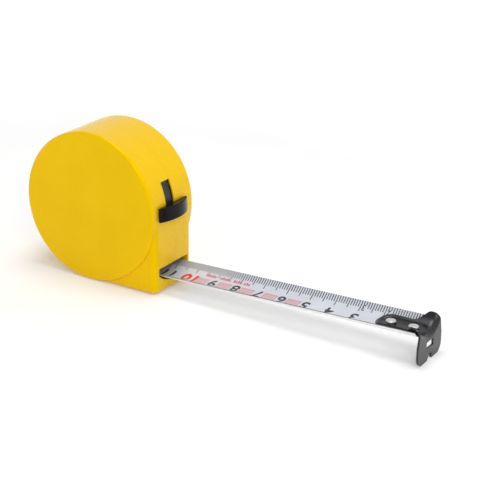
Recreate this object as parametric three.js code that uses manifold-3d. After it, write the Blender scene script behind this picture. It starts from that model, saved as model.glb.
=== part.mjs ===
// A pocket tape measure: a round case with a square front corner, its blade drawn out about eleven
// centimetres and held by the lock.
//
// Millimetres, +Z up, +X along the blade as it leaves the case, +Y along the reel's axle towards the
// cover. The origin is the middle of the case's flat base.
import * as THREE from "three";
import { mergeVertices } from "three/addons/utils/BufferGeometryUtils.js";
import Module from "manifold-3d";

const wasm = await Module();
wasm.setup();

// ---------------------------------------------------------------- driving dimensions

const GAP = 0.3; // left between pieces that touch on the real object
const RUNNING = 0.05; // radial clearance of a pin in its hole

// Case: a flat round drum, and a narrower block that squares off its lower front corner.
const CASE_RADIUS = 29.75;
const CASE_WIDTH = 27.4;
const CASE_EDGE = 1.2; // rounding of the drum's two rims
const BLOCK_WIDTH = 24;
const BLOCK_EDGE = 2.4; // rounding of the block's upright front edges
const WALL = 2;
const SEAM_Y = 1.2; // where the body shell and the cover meet
const AXLE_X = -CASE_RADIUS / 2;
const AXLE_Z = CASE_RADIUS;
const FRONT_X = AXLE_X + CASE_RADIUS;

// Blade: a 19 mm steel strip, curved across its width, flat where it lies on the coil.
const BLADE_WIDTH = 19;
const BLADE_THICKNESS = 0.25;
const MOUTH_CURVE = 14; // radius of the blade's cross curve in the mouth
const END_CURVE = 10.8; // the same at the hook
const MOUTH_VALLEY_Z = 3.8; // height of the middle of the blade in the mouth
const END_VALLEY_Z = 4.8;
const SCALE_ZERO_X = 122.4; // inner face of the hook's plate, where the scale starts

// Mouth: straight above, hollowed below to follow the blade.
const MOUTH_WIDTH = 19.4;
const MOUTH_TOP_Z = 9.1;
const MOUTH_CLEARANCE = 0.8;

// Hook: one bent sheet, which slides on two rivets by its own thickness.
const HOOK_THICKNESS = 0.8;
const HOOK_WIDTH = 19;
const HOOK_FLOAT = HOOK_THICKNESS;
const HOOK_BEND = 2.2; // radius of the bend, to the middle of the sheet
const HOOK_BOTTOM_Z = -4.2;
const HOOK_CORNER = 3.5;
const TONGUE_WIDTH = 10;
const TONGUE_LENGTH = 19.4;
const TONGUE_CORNER = 3.5;
const SHOULDER_WIDTH = 16.8; // over the two wings, where the sheet bends down
const RIVET_XS = [107.7, 116.6];
const RIVET_SHANK = 1.2;
const RIVET_HEAD = 1.9;

// Lock: the button runs in a slot in the front wall, and turns about the reel's axle with its strip.
const SLOT_WIDTH = 5.6;
const SLOT_TOP = 24.8; // degrees above the horizontal through the axle
const BUTTON_ANGLE = 2.2; // locked
const BUTTON_LENGTH = 17.4;
const BUTTON_HEIGHT = 4.9;
const BUTTON_DEPTH = 3.3; // at its middle
const BUTTON_TIP = 0.9; // depth of its two ends
const STRIP_INNER = 26.0;
const STRIP_THICKNESS = 0.8;
const STRIP_WIDTH = 10;

// Reel
const ARBOR_RADIUS = 3;
const DRUM_INNER = 13;
const DRUM_OUTER = 14.2;
const COIL_OUTER = 20; // three metres of blade, less what is drawn out
const FLANGE_RADIUS = 22.2;
const FLANGE_THICKNESS = 0.8;
const SPRING_TURNS = 7;
const SPRING_THICKNESS = 0.4;

// Screws
const SCREW_SHANK = 1;
const SCREW_HEAD = 2;
const SCREW_HEAD_HEIGHT = 1.6;
const SCREW_TIP_Y = -8;
const BOSS_RADIUS = 3.1;
const BOSS_SINK = 1; // how far the rim bosses stand into the rim's wall
const RIM_SCREW_ANGLES = [62, 135, 208];
const CORNER_SCREW = { x: 10.4, z: 12.4, bossRadius: 2.9 };

// ---------------------------------------------------------------- helpers

const radians = THREE.MathUtils.degToRad;

// A closed geometry as a solid that can be joined and cut.
function solid(geometry) {
  const bare = new THREE.BufferGeometry();
  bare.setAttribute("position", geometry.getAttribute("position"));
  bare.setIndex(geometry.getIndex());
  const merged = mergeVertices(bare, 1e-4);
  return new wasm.Manifold(
    new wasm.Mesh({
      numProp: 3,
      vertProperties: merged.getAttribute("position").array,
      triVerts: new Uint32Array(merged.getIndex().array),
    }),
  );
}

// A solid as a flat-shaded geometry.
function geometryOf(body) {
  const mesh = body.getMesh();
  const geometry = new THREE.BufferGeometry();
  geometry.setAttribute("position", new THREE.BufferAttribute(mesh.vertProperties, 3));
  geometry.setIndex(new THREE.BufferAttribute(mesh.triVerts, 1));
  const flat = geometry.toNonIndexed();
  flat.computeVertexNormals();
  return flat;
}

const join = (...geometries) => geometries.map(solid).reduce((a, b) => a.add(b));

const cut = (body, ...cutters) => cutters.reduce((rest, cutter) => rest.subtract(solid(cutter)), body);

function boxBetween(low, high) {
  const size = high.map((value, axis) => value - low[axis]);
  const middle = high.map((value, axis) => (value + low[axis]) / 2);
  return new THREE.BoxGeometry(...size).translate(...middle);
}

// A round rod along Y.
function rod(radius, x, z, yLow, yHigh, segments = 20) {
  return new THREE.CylinderGeometry(radius, radius, yHigh - yLow, segments).translate(x, (yLow + yHigh) / 2, z);
}

// A flat outline drawn in X and Z, given thickness along Y.
function alongY(outline, yLow, yHigh, curveSegments = 24) {
  const settings = { depth: yHigh - yLow, bevelEnabled: false, curveSegments };
  return new THREE.ExtrudeGeometry(outline, settings).rotateX(Math.PI / 2).translate(0, yHigh, 0);
}

// A flat outline drawn in Y and Z, given thickness along X.
function alongX(outline, xLow, xHigh, curveSegments = 24) {
  const settings = { depth: xHigh - xLow, bevelEnabled: false, curveSegments };
  const turn = new THREE.Matrix4().makeBasis(
    new THREE.Vector3(0, 1, 0),
    new THREE.Vector3(0, 0, 1),
    new THREE.Vector3(1, 0, 0),
  );
  return new THREE.ExtrudeGeometry(outline, settings).applyMatrix4(turn).translate(xLow, 0, 0);
}

// A flat outline drawn in X and Y, given thickness along Z.
function alongZ(outline, zLow, zHigh, curveSegments = 8) {
  const settings = { depth: zHigh - zLow, bevelEnabled: false, curveSegments };
  return new THREE.ExtrudeGeometry(outline, settings).translate(0, 0, zLow);
}

// A body turned about the reel's axle. The profile is [radius, y] pairs, and runs up its outer side.
function turned(profile, segments = 72) {
  const points = profile.map(([radius, y]) => new THREE.Vector2(radius, y));
  return new THREE.LatheGeometry(points, segments).translate(AXLE_X, 0, AXLE_Z);
}

// A ring about the axle with a rectangular section.
function ring(inner, outer, yLow, yHigh, segments) {
  const profile = [
    [inner, yLow],
    [outer, yLow],
    [outer, yHigh],
    [inner, yHigh],
    [inner, yLow],
  ];
  return turned(profile, segments);
}

// A slice of such a ring, between two angles in degrees above +X.
function ringSlice(inner, outer, from, to, yLow, yHigh) {
  const outline = new THREE.Shape();
  outline.absarc(0, 0, outer, radians(from), radians(to), false);
  outline.absarc(0, 0, inner, radians(to), radians(from), true);
  const steps = Math.max(3, Math.ceil((to - from) / 6));
  return alongY(outline, yLow, yHigh, steps).translate(AXLE_X, 0, AXLE_Z);
}

// A point about the axle, from its radius and its angle in degrees above +X.
function aboutAxle(radius, angle) {
  return {
    x: AXLE_X + radius * Math.cos(radians(angle)),
    z: AXLE_Z + radius * Math.sin(radians(angle)),
  };
}

// A geometry turned about the axle by an angle in degrees, upwards at the front.
function turnAboutAxle(geometry, angle) {
  return geometry
    .translate(-AXLE_X, 0, -AXLE_Z)
    .rotateY(-radians(angle))
    .translate(AXLE_X, 0, AXLE_Z);
}

// A sheet of the given thickness about a grid of points. Rows run forwards and columns run along +Y.
function sheet(grid, thickness) {
  const rows = grid.length;
  const columns = grid[0].length;
  const clampedRow = (i) => grid[Math.min(Math.max(i, 0), rows - 1)];
  const pointAt = (i, j) => clampedRow(i)[Math.min(Math.max(j, 0), columns - 1)];
  const side = (offset) =>
    grid.map((row, i) =>
      row.map((point, j) => {
        const forwards = pointAt(i + 1, j).clone().sub(pointAt(i - 1, j));
        const across = pointAt(i, j + 1).clone().sub(pointAt(i, j - 1));
        return forwards.cross(across).normalize().multiplyScalar(offset).add(point);
      }),
    );
  const faces = [side(thickness / 2), side(-thickness / 2)];
  const positions = faces.flat(2).flatMap((point) => point.toArray());
  const index = [];
  const top = (i, j) => i * columns + j;
  const bottom = (i, j) => rows * columns + top(i, j);
  const quad = (a, b, c, d) => index.push(a, b, c, a, c, d);
  for (let i = 0; i < rows - 1; i++) {
    for (let j = 0; j < columns - 1; j++) {
      quad(top(i, j), top(i + 1, j), top(i + 1, j + 1), top(i, j + 1));
      quad(bottom(i, j), bottom(i, j + 1), bottom(i + 1, j + 1), bottom(i + 1, j));
    }
    quad(bottom(i, 0), bottom(i + 1, 0), top(i + 1, 0), top(i, 0));
    const last = columns - 1;
    quad(top(i, last), top(i + 1, last), bottom(i + 1, last), bottom(i, last));
  }
  for (let j = 0; j < columns - 1; j++) {
    quad(top(0, j), top(0, j + 1), bottom(0, j + 1), bottom(0, j));
    quad(bottom(rows - 1, j), bottom(rows - 1, j + 1), top(rows - 1, j + 1), top(rows - 1, j));
  }
  const geometry = new THREE.BufferGeometry();
  geometry.setAttribute("position", new THREE.Float32BufferAttribute(positions, 3));
  geometry.setIndex(index);
  return geometry;
}

// Evenly spaced numbers from one end to the other, both included.
const spread = (from, to, steps) => Array.from({ length: steps + 1 }, (_, i) => from + ((to - from) * i) / steps);

// ---------------------------------------------------------------- materials

function finish(color, roughness, metalness = 0) {
  return new THREE.MeshStandardMaterial({ color, roughness, metalness });
}

const caseYellow = finish(0xefc102, 0.38);
const lockBlack = finish(0x17181b, 0.25);
const bladeWhite = finish(0xd4dae2, 0.32, 0.1);
const hookSteel = finish(0x45454a, 0.42, 0.7);
const rivetSteel = finish(0xd9d3ca, 0.35, 0.8);
const plainSteel = finish(0xa9adb2, 0.3, 0.9);
const springSteel = finish(0x6f7780, 0.3, 0.9);
const reelPlastic = finish(0x2b2c30, 0.5);
const padRubber = finish(0x222222, 0.85);

const tape = new THREE.Group();

function addPiece(name, body, material) {
  const geometry = geometryOf(body.isBufferGeometry ? solid(body) : body);
  const mesh = new THREE.Mesh(geometry, material);
  mesh.name = name;
  tape.add(mesh);
}

// ---------------------------------------------------------------- screw places

// Each screw enters the cover from outside, stops on a seat in its boss, and bites in the body shell.
const SEAT_DEPTH = 2.75;
const rimScrews = RIM_SCREW_ANGLES.map((angle) => ({
  ...aboutAxle(CASE_RADIUS - WALL + BOSS_SINK - BOSS_RADIUS, angle),
  bossRadius: BOSS_RADIUS,
  outerY: CASE_WIDTH / 2,
}));
const screws = [...rimScrews, { ...CORNER_SCREW, outerY: BLOCK_WIDTH / 2 }];

// ---------------------------------------------------------------- case

// The drum and the block together, drawn in by the wall's thickness for the hollow inside.
function caseForm(inset) {
  const radius = CASE_RADIUS - inset;
  const halfWidth = CASE_WIDTH / 2 - inset;
  const edge = inset > 0 ? 0 : CASE_EDGE;
  const rimCorner = (fromAngle, ySide) =>
    spread(fromAngle, fromAngle + 90, 3).map((angle) => [
      radius - edge + edge * Math.cos(radians(angle)),
      ySide * (halfWidth - edge) + edge * Math.sin(radians(angle)),
    ]);
  const rim = edge > 0 ? [...rimCorner(-90, -1), ...rimCorner(0, 1)] : [[radius, -halfWidth], [radius, halfWidth]];
  const drum = turned([[0, -halfWidth], ...rim, [0, halfWidth]]);

  const halfBlock = BLOCK_WIDTH / 2 - inset;
  const frontX = FRONT_X - inset;
  const corner = Math.max(BLOCK_EDGE - inset, GAP);
  const plan = new THREE.Shape();
  plan.moveTo(AXLE_X, -halfBlock);
  plan.lineTo(frontX - corner, -halfBlock);
  plan.absarc(frontX - corner, -halfBlock + corner, corner, -Math.PI / 2, 0, false);
  plan.absarc(frontX - corner, halfBlock - corner, corner, 0, Math.PI / 2, false);
  plan.lineTo(AXLE_X, halfBlock);
  return join(drum, alongZ(plan, inset, AXLE_Z, 6));
}

function mouthCutter() {
  const half = MOUTH_WIDTH / 2;
  const lipRadius = MOUTH_CURVE + BLADE_THICKNESS / 2 + MOUTH_CLEARANCE;
  const centreZ = MOUTH_VALLEY_Z + MOUTH_CURVE;
  const reach = Math.asin(half / lipRadius);
  const outline = new THREE.Shape();
  outline.moveTo(half, MOUTH_TOP_Z);
  outline.lineTo(-half, MOUTH_TOP_Z);
  outline.absarc(0, centreZ, lipRadius, -Math.PI / 2 - reach, -Math.PI / 2 + reach, false);
  return alongX(outline, FRONT_X - 2 * WALL, FRONT_X + WALL, 12);
}

const buttonHalfAngle = THREE.MathUtils.radToDeg(BUTTON_HEIGHT / 2 / CASE_RADIUS);
const slotBottom = BUTTON_ANGLE - buttonHalfAngle;
const slotLowY = SEAM_Y - SLOT_WIDTH;

// A low bed under the blade, from the coil to the mouth.
const bed = { xLow: -9, xHigh: FRONT_X - WALL / 2, top: 2.8 };

// A curved rib in the body shell that the lock strip slides along, inside the front corner.
const guide = { inner: STRIP_INNER + STRIP_THICKNESS + GAP, thickness: 1, from: -45, to: -4, yHigh: -3 };

const hubBoss = { radius: 5, y: 10.9, boreEnd: 12.4 };

function shellHalf(yLow, yHigh) {
  const slab = boxBetween([-60, yLow, -10], [60, yHigh, 80]);
  return caseForm(0).subtract(caseForm(WALL)).intersect(solid(slab));
}

function bodyShell() {
  const top = SEAM_Y - GAP / 2;
  const inside = WALL / 2 - CASE_WIDTH / 2; // buried halfway into the face's wall
  const blockInside = WALL / 2 - BLOCK_WIDTH / 2;
  const additions = [
    boxBetween([bed.xLow, blockInside, WALL / 2], [bed.xHigh, top, bed.top]),
    ringSlice(guide.inner, guide.inner + guide.thickness, guide.from, guide.to, blockInside, guide.yHigh),
    rod(hubBoss.radius, AXLE_X, AXLE_Z, inside, -hubBoss.y, 32),
    ...screws.map((screw) => rod(screw.bossRadius, screw.x, screw.z, WALL / 2 - screw.outerY, top)),
  ];
  const pilots = screws.map((screw) => rod(SCREW_SHANK + RUNNING, screw.x, screw.z, SCREW_TIP_Y - GAP, top + 1, 12));
  const bore = rod(ARBOR_RADIUS + RUNNING, AXLE_X, AXLE_Z, -hubBoss.boreEnd, 0, 32);
  const slot = ringSlice(CASE_RADIUS - 2 * WALL, CASE_RADIUS + WALL, slotBottom, SLOT_TOP, slotLowY, top + 1);
  const whole = shellHalf(-CASE_WIDTH, top).add(join(...additions));
  return cut(whole, ...pilots, bore, slot, mouthCutter());
}

function coverShell() {
  const bottom = SEAM_Y + GAP / 2;
  const additions = [
    boxBetween([bed.xLow, bottom, WALL / 2], [bed.xHigh, BLOCK_WIDTH / 2 - WALL / 2, bed.top]),
    rod(hubBoss.radius, AXLE_X, AXLE_Z, hubBoss.y, CASE_WIDTH / 2 - WALL / 2, 32),
    ...screws.map((screw) => rod(screw.bossRadius, screw.x, screw.z, bottom, screw.outerY - WALL / 2)),
  ];
  const holes = screws.flatMap((screw) => [
    rod(SCREW_SHANK + GAP, screw.x, screw.z, bottom - 1, screw.outerY, 12),
    rod(SCREW_HEAD + GAP, screw.x, screw.z, screw.outerY - SEAT_DEPTH, screw.outerY + 1, 20),
  ]);
  const bore = rod(ARBOR_RADIUS + RUNNING, AXLE_X, AXLE_Z, 0, hubBoss.boreEnd, 32);
  const whole = shellHalf(bottom, CASE_WIDTH).add(join(...additions));
  return cut(whole, ...holes, bore, mouthCutter());
}

function caseScrew({ x, z, outerY }) {
  const seatY = outerY - SEAT_DEPTH + RUNNING;
  const crown = 0.3;
  const profile = [
    [0, SCREW_TIP_Y],
    [SCREW_SHANK, SCREW_TIP_Y + SCREW_SHANK],
    [SCREW_SHANK, seatY],
    [SCREW_HEAD, seatY],
    [SCREW_HEAD, seatY + SCREW_HEAD_HEIGHT - crown],
    [SCREW_HEAD - crown, seatY + SCREW_HEAD_HEIGHT],
    [0, seatY + SCREW_HEAD_HEIGHT],
  ];
  const points = profile.map(([radius, y]) => new THREE.Vector2(radius, y));
  const blank = new THREE.LatheGeometry(points, 20).translate(x, 0, z);
  const slotHalf = 0.3;
  const slotReach = 1.3;
  const slotFloor = seatY + SCREW_HEAD_HEIGHT / 2;
  const lengthways = boxBetween([x - slotReach, slotFloor, z - slotHalf], [x + slotReach, outerY, z + slotHalf]);
  const crossways = boxBetween([x - slotHalf, slotFloor, z - slotReach], [x + slotHalf, outerY, z + slotReach]);
  return cut(solid(blank), lengthways, crossways);
}

addPiece("near_shell", bodyShell(), caseYellow);
addPiece("far_shell", coverShell(), caseYellow);
screws.forEach((screw, i) => addPiece(`case_screw_${i + 1}`, caseScrew(screw), plainSteel));

// ---------------------------------------------------------------- reel

const arborHalf = hubBoss.boreEnd - RUNNING * 2;
const coilHalf = BLADE_WIDTH / 2;
const flangeY = coilHalf + GAP;

// The arbor's slot takes the spring's inner end.
function arbor() {
  const pin = rod(ARBOR_RADIUS, AXLE_X, AXLE_Z, -arborHalf, arborHalf, 32);
  const slotHalf = 0.4;
  const slot = boxBetween(
    [AXLE_X, 1 - coilHalf, AXLE_Z - slotHalf],
    [AXLE_X + 2 * ARBOR_RADIUS, coilHalf - 1, AXLE_Z + slotHalf],
  );
  return cut(solid(pin), slot);
}

// A flat strip wound in an even spiral between the arbor and the drum.
function powerSpring() {
  const start = ARBOR_RADIUS + GAP + SPRING_THICKNESS / 2;
  const end = DRUM_INNER - GAP - SPRING_THICKNESS / 2;
  const turns = spread(0, 1, SPRING_TURNS * 28);
  const side = (share, offset) => {
    const radius = start + (end - start) * share + offset;
    const angle = 2 * Math.PI * SPRING_TURNS * share;
    return new THREE.Vector2(radius * Math.cos(angle), radius * Math.sin(angle));
  };
  const outside = turns.map((share) => side(share, SPRING_THICKNESS / 2));
  const inside = turns.map((share) => side(share, -SPRING_THICKNESS / 2)).reverse();
  const outline = new THREE.Shape([...outside, ...inside]);
  return alongY(outline, 1 - coilHalf, coilHalf - 1).translate(AXLE_X, 0, AXLE_Z);
}

// The rivet that ties the blade's tail to the spring stands in a hole at the top of the drum.
const TAIL_RIVET = 0.8;

function drum() {
  const hole = new THREE.CylinderGeometry(TAIL_RIVET + RUNNING, TAIL_RIVET + RUNNING, 4, 12);
  hole.rotateX(Math.PI / 2).translate(AXLE_X, 0, AXLE_Z + (DRUM_INNER + DRUM_OUTER) / 2);
  return cut(solid(ring(DRUM_INNER, DRUM_OUTER, -coilHalf, coilHalf, 48)), hole);
}

function tailRivet() {
  const length = DRUM_OUTER - DRUM_INNER;
  const pin = new THREE.CylinderGeometry(TAIL_RIVET, TAIL_RIVET, length, 12);
  return pin.rotateX(Math.PI / 2).translate(AXLE_X, 0, AXLE_Z + DRUM_INNER + length / 2);
}

addPiece("arbor", arbor(), plainSteel);
addPiece("power_spring", powerSpring(), springSteel);
addPiece("reel_drum", drum(), reelPlastic);
addPiece("blade_tail_rivet", tailRivet(), rivetSteel);
const flangeBore = ARBOR_RADIUS + 2 * RUNNING;
addPiece("reel_flange_near", ring(flangeBore, FLANGE_RADIUS, -flangeY - FLANGE_THICKNESS, -flangeY, 48), reelPlastic);
addPiece("reel_flange_far", ring(flangeBore, FLANGE_RADIUS, flangeY, flangeY + FLANGE_THICKNESS, 48), reelPlastic);
addPiece("blade_coil", ring(DRUM_OUTER + GAP, COIL_OUTER, -coilHalf, coilHalf, 60), bladeWhite);

// ---------------------------------------------------------------- blade

const COIL_EXIT_ANGLE = -112; // where the blade leaves the coil, degrees above +X
const LEVEL_X = -1; // where the blade becomes level
const bladeEndX = SCALE_ZERO_X - HOOK_FLOAT - GAP;

// The middle of the blade from the coil to its level run, as a smooth curve in X and Z.
function bladeDescent() {
  const start = aboutAxle(COIL_OUTER + GAP + BLADE_THICKNESS / 2, COIL_EXIT_ANGLE);
  const heading = { x: -Math.sin(radians(COIL_EXIT_ANGLE)), z: Math.cos(radians(COIL_EXIT_ANGLE)) };
  const reach = (LEVEL_X - start.x) / 2;
  return new THREE.CubicBezierCurve(
    new THREE.Vector2(start.x, start.z),
    new THREE.Vector2(start.x + heading.x * reach, start.z + heading.z * reach),
    new THREE.Vector2(LEVEL_X - reach / 2, MOUTH_VALLEY_Z),
    new THREE.Vector2(LEVEL_X, MOUTH_VALLEY_Z),
  );
}

// The blade is flat on the coil, and its cross curve grows towards the mouth and on to the hook.
function bladeGrid() {
  const descent = bladeDescent().getPoints(8);
  const flatX = descent[0].x;
  const level = spread(LEVEL_X, bladeEndX, 10).slice(1);
  const levelRow = (x) => {
    const share = THREE.MathUtils.clamp((x - FRONT_X) / (bladeEndX - FRONT_X), 0, 1);
    return new THREE.Vector2(x, THREE.MathUtils.lerp(MOUTH_VALLEY_Z, END_VALLEY_Z, share));
  };
  return [...descent, ...level.map(levelRow)].map((middle, i, all) => {
    const ahead = all[Math.min(i + 1, all.length - 1)].clone().sub(all[Math.max(i - 1, 0)]).normalize();
    const inside = THREE.MathUtils.smoothstep(middle.x, flatX, FRONT_X);
    const outside = THREE.MathUtils.clamp((middle.x - FRONT_X) / (bladeEndX - FRONT_X), 0, 1);
    const curve = inside / MOUTH_CURVE + outside * (1 / END_CURVE - 1 / MOUTH_CURVE);
    return spread(-BLADE_WIDTH / 2, BLADE_WIDTH / 2, 14).map((across) => {
      const y = curve > 0 ? Math.sin(across * curve) / curve : across;
      const rise = curve > 0 ? (1 - Math.cos(across * curve)) / curve : 0;
      return new THREE.Vector3(middle.x - ahead.y * rise, y, middle.y + ahead.x * rise);
    });
  });
}

const rivetHole = (x) =>
  new THREE.CylinderGeometry(RIVET_SHANK + RUNNING, RIVET_SHANK + RUNNING, 6, 16)
    .rotateX(Math.PI / 2)
    .translate(x, 0, END_VALLEY_Z);

addPiece("blade_strip", cut(solid(sheet(bladeGrid(), BLADE_THICKNESS)), ...RIVET_XS.map(rivetHole)), bladeWhite);

// ---------------------------------------------------------------- hook

// The sheet's middle lies in the blade's trough, on a circle about the same centre.
const troughRadius = END_CURVE - BLADE_THICKNESS / 2 - GAP - HOOK_THICKNESS / 2;
const troughZ = END_VALLEY_Z + END_CURVE - troughRadius;
const plateX = SCALE_ZERO_X + HOOK_THICKNESS / 2;
const tipX = SCALE_ZERO_X - TONGUE_LENGTH;

// Height of the sheet above the middle of its trough. Past the blade's edges it runs on straight.
function troughRise(y) {
  const straightFrom = 0.76 * troughRadius;
  const curved = Math.min(Math.abs(y), straightFrom);
  const drop = Math.sqrt(troughRadius ** 2 - curved ** 2);
  return troughRadius - drop + (Math.abs(y) - curved) * (curved / drop);
}

function plateBottom(y) {
  const past = Math.max(Math.abs(y) - (HOOK_WIDTH / 2 - HOOK_CORNER), 0);
  return HOOK_BOTTOM_Z + HOOK_CORNER - Math.sqrt(Math.max(HOOK_CORNER ** 2 - past ** 2, 0));
}

// Rows of the hook: the tongue with its rounded tip, the two wings, the bend and the plate.
function hookGrid() {
  const bendX = plateX - HOOK_BEND;
  const across = spread(-1, 1, 18).map((share) => Math.sin((share * Math.PI) / 2));
  const flatRow = (x, halfWidth) =>
    across.map((share) => {
      const y = share * halfWidth;
      return new THREE.Vector3(x, y, troughZ + troughRise(y));
    });
  const tip = spread(0, 1, 4).map((share) => {
    const angle = (share * Math.PI) / 2;
    const halfWidth = TONGUE_WIDTH / 2 - TONGUE_CORNER * (1 - Math.sin(angle));
    return flatRow(tipX + TONGUE_CORNER * (1 - Math.cos(angle)), halfWidth);
  });
  const flareFrom = SCALE_ZERO_X - 9;
  const flareTo = bendX - 1;
  const wings = spread(flareFrom, flareTo, 5).map((x) => {
    const share = THREE.MathUtils.smoothstep(x, flareFrom, flareTo);
    return flatRow(x, THREE.MathUtils.lerp(TONGUE_WIDTH, SHOULDER_WIDTH, share) / 2);
  });
  const bend = spread(0, 90, 5).map((angle) =>
    flatRow(bendX + HOOK_BEND * Math.sin(radians(angle)), SHOULDER_WIDTH / 2).map((point) =>
      point.setZ(point.z - HOOK_BEND * (1 - Math.cos(radians(angle)))),
    ),
  );
  const fullWidthAt = 0.6; // share of the plate's height over which it widens
  const plate = [0.1, 0.25, 0.42, fullWidthAt, 1].map((share) => {
    const halfWidth = THREE.MathUtils.lerp(SHOULDER_WIDTH, HOOK_WIDTH, Math.min(share / fullWidthAt, 1)) / 2;
    return across.map((part) => {
      const y = part * halfWidth;
      const top = troughZ + troughRise(y) - HOOK_BEND;
      return new THREE.Vector3(plateX, y, THREE.MathUtils.lerp(top, plateBottom(y), share));
    });
  });
  return [...tip, ...wings, ...bend, ...plate];
}

// Each rivet stands at the back end of its slot while the hook is pulled out.
function floatSlot(x) {
  const radius = RIVET_SHANK + 3 * RUNNING;
  const outline = new THREE.Shape();
  outline.absarc(x + HOOK_FLOAT, 0, radius, -Math.PI / 2, Math.PI / 2, false);
  outline.absarc(x, 0, radius, Math.PI / 2, (3 * Math.PI) / 2, false);
  return alongZ(outline, troughZ - 3, troughZ + 3);
}

function hook() {
  const holeHalf = { y: 2.8, z: 1.3 };
  const holeZ = 2.1;
  const notchHalf = 2.2;
  const notchApexZ = -1.9;
  const behind = plateX - 1;
  const ahead = plateX + 1;
  const hole = boxBetween([behind, -holeHalf.y, holeZ - holeHalf.z], [ahead, holeHalf.y, holeZ + holeHalf.z]);
  const notch = new THREE.Shape();
  notch.moveTo(-notchHalf * 2, 2 * HOOK_BOTTOM_Z - notchApexZ);
  notch.lineTo(notchHalf * 2, 2 * HOOK_BOTTOM_Z - notchApexZ);
  notch.lineTo(0, notchApexZ);
  const body = solid(sheet(hookGrid(), HOOK_THICKNESS));
  return cut(body, ...RIVET_XS.map(floatSlot), hole, alongX(notch, behind, ahead));
}

function hookRivet(x) {
  const tailHigh = END_VALLEY_Z - BLADE_THICKNESS / 2 - 0.15;
  const tail = { radius: 1.6, low: tailHigh - 0.35, high: tailHigh };
  const headLow = troughZ + HOOK_THICKNESS / 2 + GAP + 0.1;
  const headHeight = 0.8;
  const crown = 0.3;
  const profile = [
    [0, tail.low],
    [tail.radius, tail.low],
    [tail.radius, tail.high],
    [RIVET_SHANK, tail.high],
    [RIVET_SHANK, headLow],
    [RIVET_HEAD, headLow],
    [RIVET_HEAD, headLow + headHeight - crown],
    [RIVET_HEAD - crown, headLow + headHeight],
    [0, headLow + headHeight],
  ];
  const points = profile.map(([radius, height]) => new THREE.Vector2(radius, height));
  return new THREE.LatheGeometry(points, 20).rotateX(Math.PI / 2).translate(x, 0, 0);
}

addPiece("hook", hook(), hookSteel);
RIVET_XS.forEach((x, i) => addPiece(`hook_rivet_${i + 1}`, hookRivet(x), rivetSteel));

// ---------------------------------------------------------------- lock

const lockMiddleY = SEAM_Y - SLOT_WIDTH / 2;
const stemHalfWidth = SLOT_WIDTH / 2 - GAP;
const stemHalfAngle = buttonHalfAngle - 1;
const stripOuter = STRIP_INNER + STRIP_THICKNESS;
const stripTop = SLOT_TOP + 6;
const stripBottom = -57;

// A crescent bar, flat behind and bowed in front, on a stem that goes through the slot and the strip.
function lockButton() {
  const backX = FRONT_X + GAP;
  const half = BUTTON_LENGTH / 2;
  const bow = BUTTON_DEPTH - BUTTON_TIP;
  const bowRadius = (half ** 2 + bow ** 2) / (2 * bow);
  const reach = Math.asin(half / bowRadius);
  const plan = new THREE.Shape();
  plan.moveTo(backX, half);
  plan.lineTo(backX, -half);
  plan.absarc(backX + BUTTON_DEPTH - bowRadius, 0, bowRadius, -reach, reach, false);
  const bar = alongZ(plan, AXLE_Z - BUTTON_HEIGHT / 2, AXLE_Z + BUTTON_HEIGHT / 2, 14).translate(0, lockMiddleY, 0);
  const stem = ringSlice(
    STRIP_INNER - GAP,
    CASE_RADIUS + 2 * GAP,
    BUTTON_ANGLE - stemHalfAngle,
    BUTTON_ANGLE + stemHalfAngle,
    lockMiddleY - stemHalfWidth,
    lockMiddleY + stemHalfWidth,
  );
  return join(turnAboutAxle(bar, BUTTON_ANGLE), stem);
}

// The strip lies behind the slot, so it closes it, and reaches down to the blade.
function lockStrip() {
  const half = STRIP_WIDTH / 2;
  const band = ringSlice(STRIP_INNER, stripOuter, stripBottom, stripTop, -half, half);
  const play = 0.7; // degrees
  const window = ringSlice(
    STRIP_INNER - 1,
    stripOuter + 1,
    BUTTON_ANGLE - stemHalfAngle - play,
    BUTTON_ANGLE + stemHalfAngle + play,
    lockMiddleY - stemHalfWidth - GAP,
    lockMiddleY + stemHalfWidth + GAP,
  );
  return cut(solid(band), window);
}

// A rubber block on the strip's lower end, just above the blade.
function brakePad() {
  const padBottom = -65;
  const halfWidth = 4;
  return ringSlice(STRIP_INNER - STRIP_THICKNESS, stripOuter, padBottom, stripBottom - 0.7, -halfWidth, halfWidth);
}

addPiece("lock_button", lockButton(), lockBlack);
addPiece("lock_strip", lockStrip(), lockBlack);
addPiece("brake_pad", brakePad(), padRubber);

export default tape;
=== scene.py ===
"""The looks of the pocket tape measure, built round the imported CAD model.

Lengths below are in millimetres and are turned into metres when a mesh is made. Places come from the CAD
nodes' boxes where a box shows them, and are named here where it doesn't. X runs along the blade out of the
mouth, Y along the reel's axle towards the far side, and Z is up.
"""

import math

import bmesh
import bpy
from mathutils import Matrix, Vector


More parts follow.
